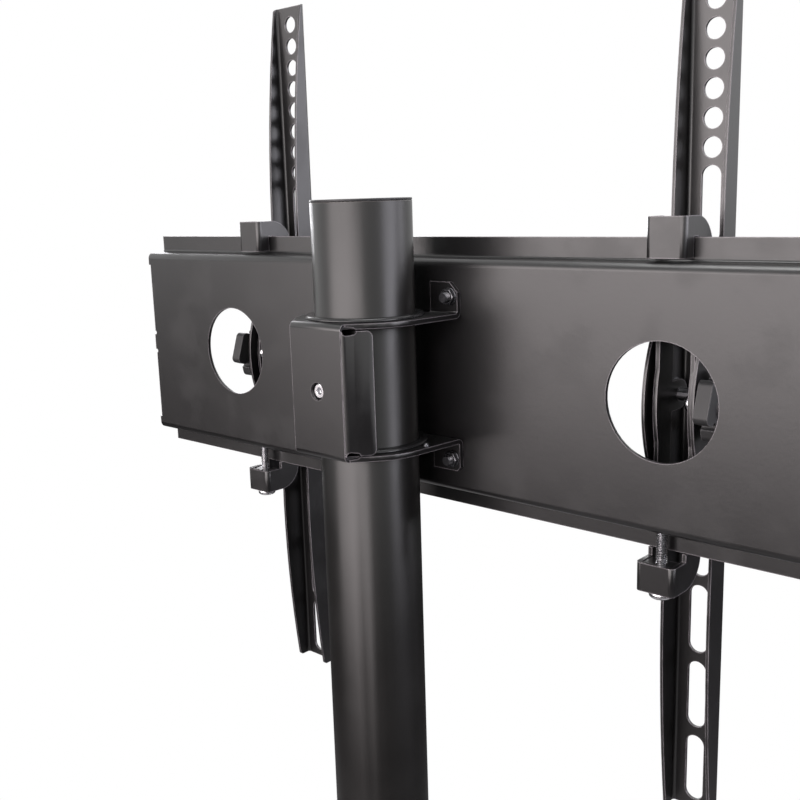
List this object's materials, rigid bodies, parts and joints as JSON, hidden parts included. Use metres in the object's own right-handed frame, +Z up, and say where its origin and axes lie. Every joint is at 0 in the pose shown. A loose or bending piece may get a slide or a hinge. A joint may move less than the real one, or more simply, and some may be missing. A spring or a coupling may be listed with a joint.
{
  "type": "tv stand with mount",
  "caption": "Floor stand for a television: a round pole on a flat foot, a folded clamp bracket, a wide folded rail and upright slotted arms that slide and tilt.",
  "frame": {"origin": "on the floor under the pole's axis", "axes": "+Z up along the pole, -Y towards the viewer of the screen, +Y behind the stand, +X to the left when seen from behind"},
  "size_m": [0.6, 0.43, 1.4152],
  "materials": {
    "black_powder": "satin black powder coat",
    "pole_black": "semi-gloss black powder coat",
    "base_black": "fine-texture black powder coat",
    "zinc": "bright zinc plate",
    "dark_steel": "dark zinc plate",
    "black_plastic": "fine matt black plastic",
    "bush_plastic": "smooth black acetal",
    "rubber": "matt black rubber"
  },
  "bodies": {
    "stand": {"base_plate": "base_black", "base_pads": "rubber", "pole_foot": "base_black", "foot_bolts": "zinc", "foot_screws": "zinc", "pole": "pole_black", "pole_cap": "black_plastic"},
    "bushes": {"upper_bush": "bush_plastic", "lower_bush": "bush_plastic"},
    "mount": {"collar_bracket": "black_powder", "lock_nut": "dark_steel", "flange_rivet": "zinc", "rail": "black_powder", "rail_bolts": "zinc", "rail_washers": "zinc", "rail_nuts": "zinc"},
    "lock_screw": {"lock_screw": "zinc"},
    "left_hook": {"hook_left": "black_powder", "pivot_pin_left": "dark_steel", "pivot_washers_left": "dark_steel"},
    "left_arm": {"arm_left": "black_powder", "tilt_bolt_left": "zinc", "knob_washer_left": "zinc"},
    "left_knob": {"knob_left": "black_plastic"},
    "left_safety": {"safety_screw_left": "zinc"},
    "right_hook": {"hook_right": "black_powder", "pivot_pin_right": "dark_steel", "pivot_washers_right": "dark_steel"},
    "right_arm": {"arm_right": "black_powder", "tilt_bolt_right": "zinc", "knob_washer_right": "zinc"},
    "right_knob": {"knob_right": "black_plastic"},
    "right_safety": {"safety_screw_right": "zinc"}
  },
  "joints": [
    {"name": "height_slide", "type": "slide", "parent": "stand", "child": "bushes", "axis": [0, 0, 1], "range_m": [-0.5, 0.03]},
    {"name": "swivel", "type": "hinge", "parent": "bushes", "child": "mount", "pos_m": [0, 0, 1.21], "axis": [0, 0, 1], "range_deg": [-180, 180]},
    {"name": "lock_screw_travel", "type": "slide", "parent": "mount", "child": "lock_screw", "axis": [0, 1, 0], "range_m": [0, 0.006]},
    {"name": "left_arm_slide", "type": "slide", "parent": "mount", "child": "left_hook", "axis": [1, 0, 0], "range_m": [-0.08, 0.085]},
    {"name": "left_tilt", "type": "hinge", "parent": "left_hook", "child": "left_arm", "pos_m": [0.1303, -0.066, 1.2074], "axis": [1, 0, 0], "range_deg": [-10, 10]},
    {"name": "left_knob_turn", "type": "hinge", "parent": "left_arm", "child": "left_knob", "pos_m": [0.1483, -0.049, 1.2074], "axis": [1, 0, 0], "continuous": true},
    {"name": "left_safety_travel", "type": "slide", "parent": "left_hook", "child": "left_safety", "axis": [0, 0, 1], "range_m": [-0.012, 0]},
    {"name": "right_arm_slide", "type": "slide", "parent": "mount", "child": "right_hook", "axis": [1, 0, 0], "range_m": [-0.071, 0.093]},
    {"name": "right_tilt", "type": "hinge", "parent": "right_hook", "child": "right_arm", "pos_m": [-0.1439, -0.066, 1.2074], "axis": [1, 0, 0], "range_deg": [-10, 10]},
    {"name": "right_knob_turn", "type": "hinge", "parent": "right_arm", "child": "right_knob", "pos_m": [-0.1619, -0.049, 1.2074], "axis": [1, 0, 0], "continuous": true},
    {"name": "right_safety_travel", "type": "slide", "parent": "right_hook", "child": "right_safety", "axis": [0, 0, 1], "range_m": [-0.012, 0]}
  ]
}
